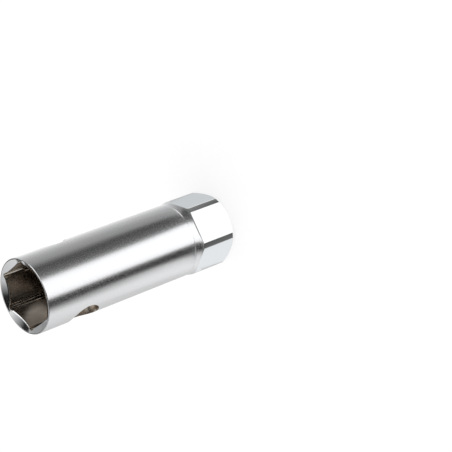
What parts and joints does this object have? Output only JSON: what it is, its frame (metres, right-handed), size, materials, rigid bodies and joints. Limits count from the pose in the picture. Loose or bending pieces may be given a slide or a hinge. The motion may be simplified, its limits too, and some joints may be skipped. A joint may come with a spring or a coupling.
{
  "type": "spark plug socket",
  "caption": "Long steel spark plug socket: satin chrome tube with a hexagon mouth and a cross hole, and a bright hexagon drive end with a square hole.",
  "frame": {"origin": "centre of the drive face, which the socket stands on", "axes": "+Z along the axis towards the mouth, -Y square to one flat of the drive hexagon"},
  "size_m": [0.028, 0.027, 0.086],
  "materials": {
    "chrome": "satin chrome tube, bright chrome drive end and mouth, thin dull plating inside"
  },
  "bodies": {
    "root": {"socket_body": "chrome"}
  },
  "joints": []
}
